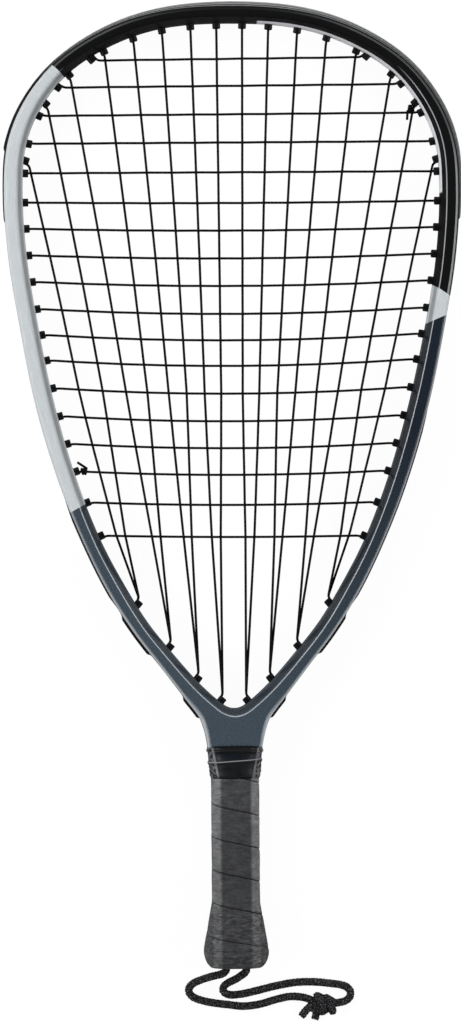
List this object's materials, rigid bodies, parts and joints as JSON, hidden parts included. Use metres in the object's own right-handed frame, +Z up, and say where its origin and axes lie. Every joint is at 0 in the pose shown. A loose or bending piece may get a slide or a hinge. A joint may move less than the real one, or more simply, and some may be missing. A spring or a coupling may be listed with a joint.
{
  "type": "racquetball racket",
  "caption": "Racquetball racket with a teardrop head, woven strings, bumper guard, wrapped flared grip and a knotted wrist cord on its butt cap.",
  "frame": {"origin": "middle of the length and width without the wrist cord, on the surface that the racket lies on", "axes": "+Y from the handle to the head, +X to the right, +Z up, square to the strings"},
  "size_m": [0.2668, 0.5917, 0.0314],
  "materials": {
    "frame_paint": "gloss lacquer over a carbon composite, black, silver and slate",
    "nylon": "moulded nylon, satin",
    "string": "black synthetic string, satin",
    "pallet_foam": "rigid foam",
    "cap_plastic": "moulded, satin",
    "grip": "matte synthetic grip band",
    "collar_rubber": "satin rubber",
    "tape": "matte adhesive tape",
    "staple_steel": "bright wire",
    "cord": "braided cord"
  },
  "bodies": {
    "root": {"frame_tube": "frame_paint", "bumper_guard": "nylon", "grommet_strip_right": "nylon", "grommet_strip_left": "nylon", "upper_throat_guard_right": "nylon", "upper_throat_guard_left": "nylon", "lower_throat_guard_right": "nylon", "lower_throat_guard_left": "nylon", "string": "string", "handle_pallet_front": "pallet_foam", "handle_pallet_back": "pallet_foam", "butt_cap": "cap_plastic", "butt_cap_staple_front": "staple_steel", "butt_cap_staple_back": "staple_steel", "grip_tape": "grip", "finishing_tape": "tape", "grip_collar": "collar_rubber", "wrist_cord_bight": "cord", "wrist_cord_left": "cord", "wrist_cord_right": "cord", "wrist_cord_tail_long": "cord", "wrist_cord_tail_short": "cord", "wrist_cord_knot": "cord"}
  },
  "joints": []
}
